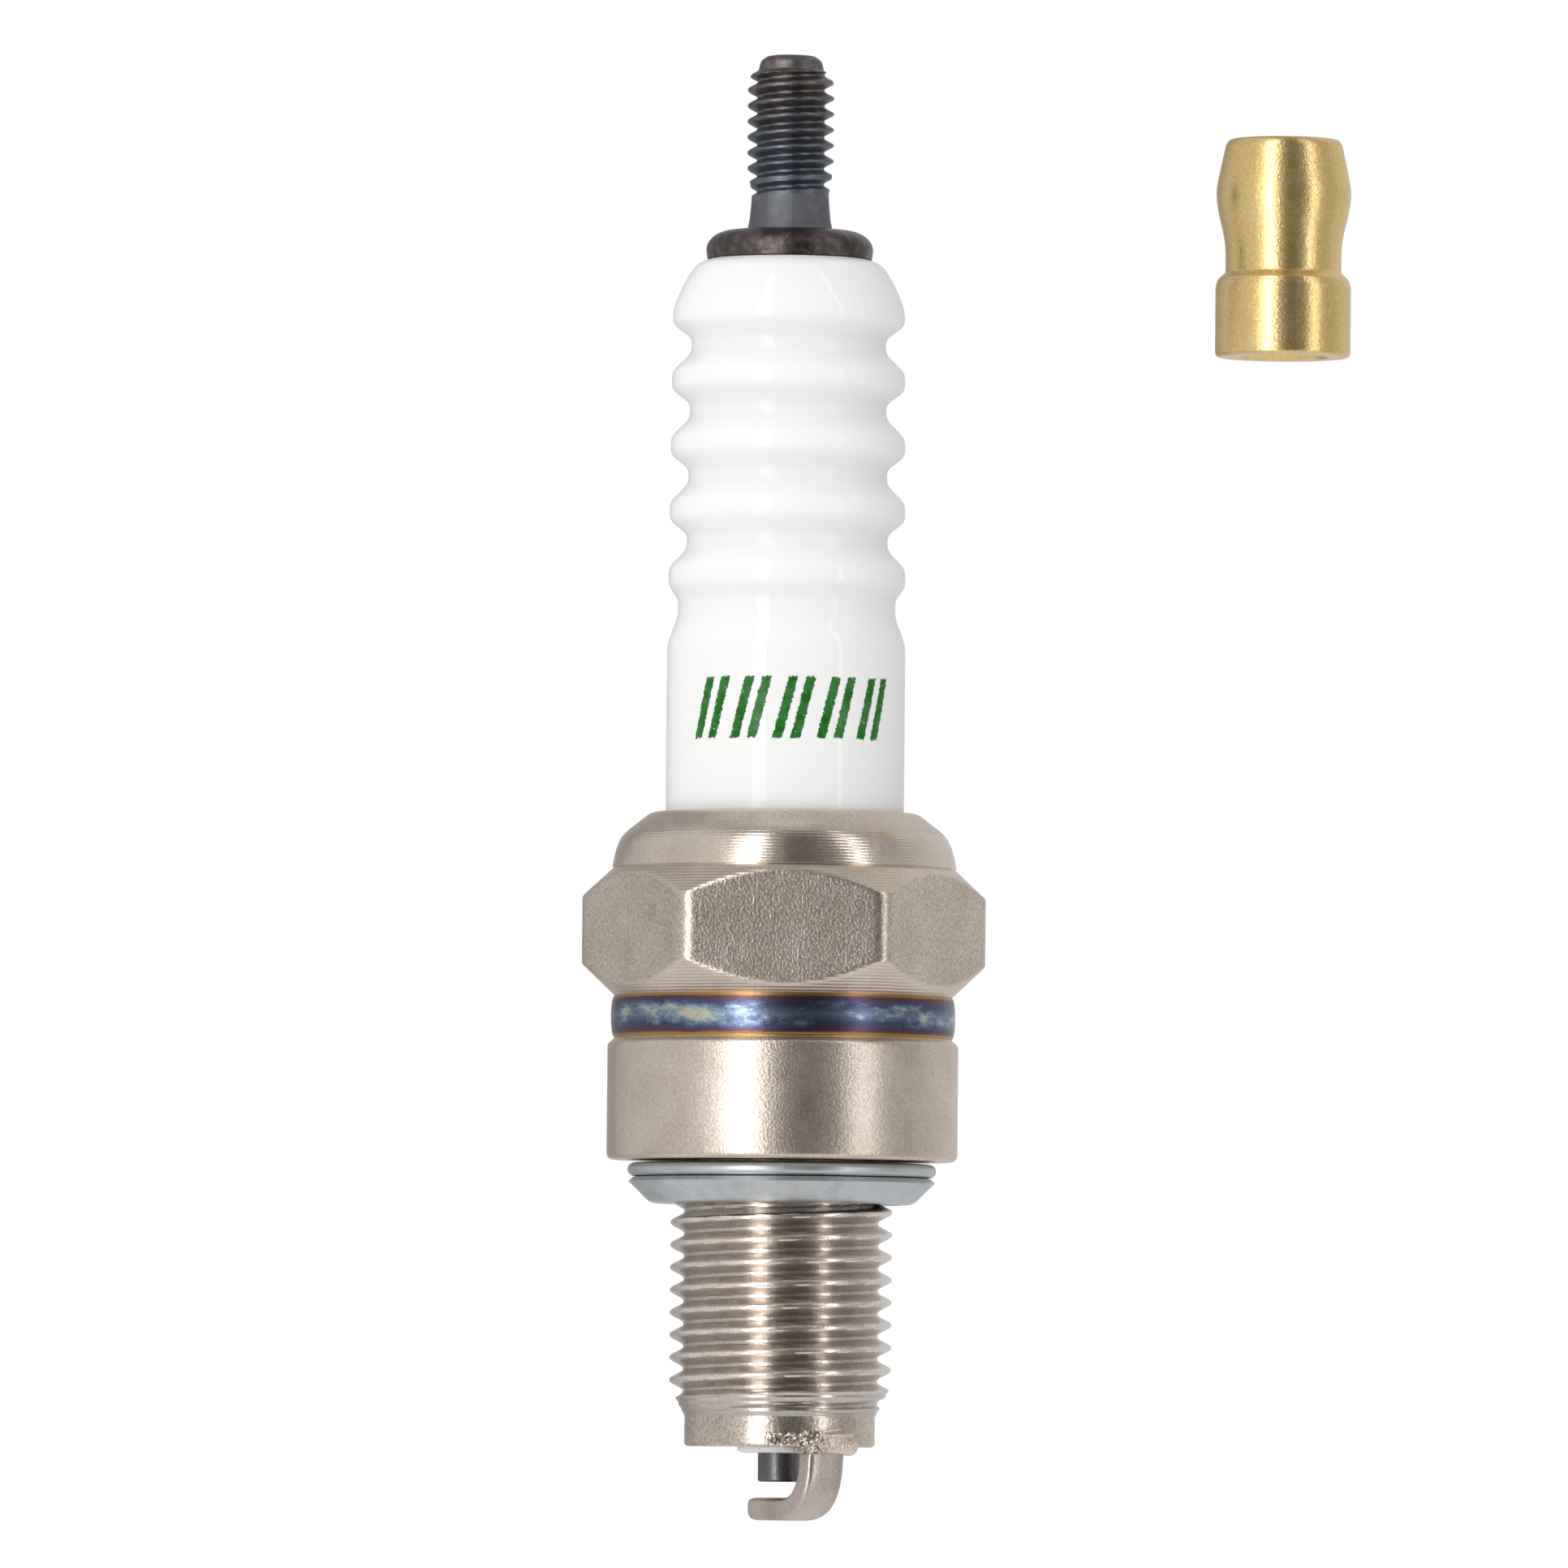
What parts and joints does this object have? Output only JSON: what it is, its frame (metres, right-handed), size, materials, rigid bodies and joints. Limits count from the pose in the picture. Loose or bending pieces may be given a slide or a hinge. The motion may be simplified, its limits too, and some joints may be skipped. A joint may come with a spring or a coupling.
{
  "type": "spark plug",
  "caption": "Small-thread spark plug: ribbed white insulator, hexagonal shell, threaded end with bent ground electrode, folded gasket, and a loose turned terminal nut beside the stud.",
  "frame": {"origin": "on the plug's axis, in the plane of the shell's gasket shoulder, from which the reach is measured", "axes": "+Z along the plug's axis towards the terminal, two of the hexagon's flats square to Y, +X towards the loose terminal nut"},
  "size_m": [0.034, 0.0158, 0.0652],
  "materials": {
    "nickel_plated_steel": "satin",
    "glazed_alumina": "gloss",
    "black_oxide_steel": "matte",
    "zinc_plated_steel": "satin",
    "turned_brass": "satin",
    "nickel_alloy": "matte",
    "copper": "satin",
    "conductive_glass": "matte",
    "carbon_composition": "matte",
    "talc": "matte"
  },
  "bodies": {
    "plug": {"shell": "nickel_plated_steel", "insulator": "glazed_alumina", "terminal_stud": "black_oxide_steel", "upper_glass_seal": "conductive_glass", "resistor": "carbon_composition", "lower_glass_seal": "conductive_glass", "centre_electrode": "nickel_alloy", "electrode_copper_core": "copper", "upper_packing_ring": "zinc_plated_steel", "talc_packing": "talc", "lower_packing_ring": "zinc_plated_steel", "seat_washer": "copper", "ground_electrode": "nickel_plated_steel", "ground_electrode_weld": "nickel_plated_steel"},
    "gasket": {"gasket": "zinc_plated_steel"},
    "terminal_nut": {"terminal_nut": "turned_brass"}
  },
  "joints": [
    {"name": "gasket_turn", "type": "hinge", "parent": "plug", "child": "gasket", "pos_m": [0, 0, -0.001], "axis": [0, 0, 1], "continuous": true},
    {"name": "terminal_nut_turn", "type": "hinge", "parent": "plug", "child": "terminal_nut", "pos_m": [0.022, 0, 0.04085], "axis": [0, 0, 1], "continuous": true}
  ]
}
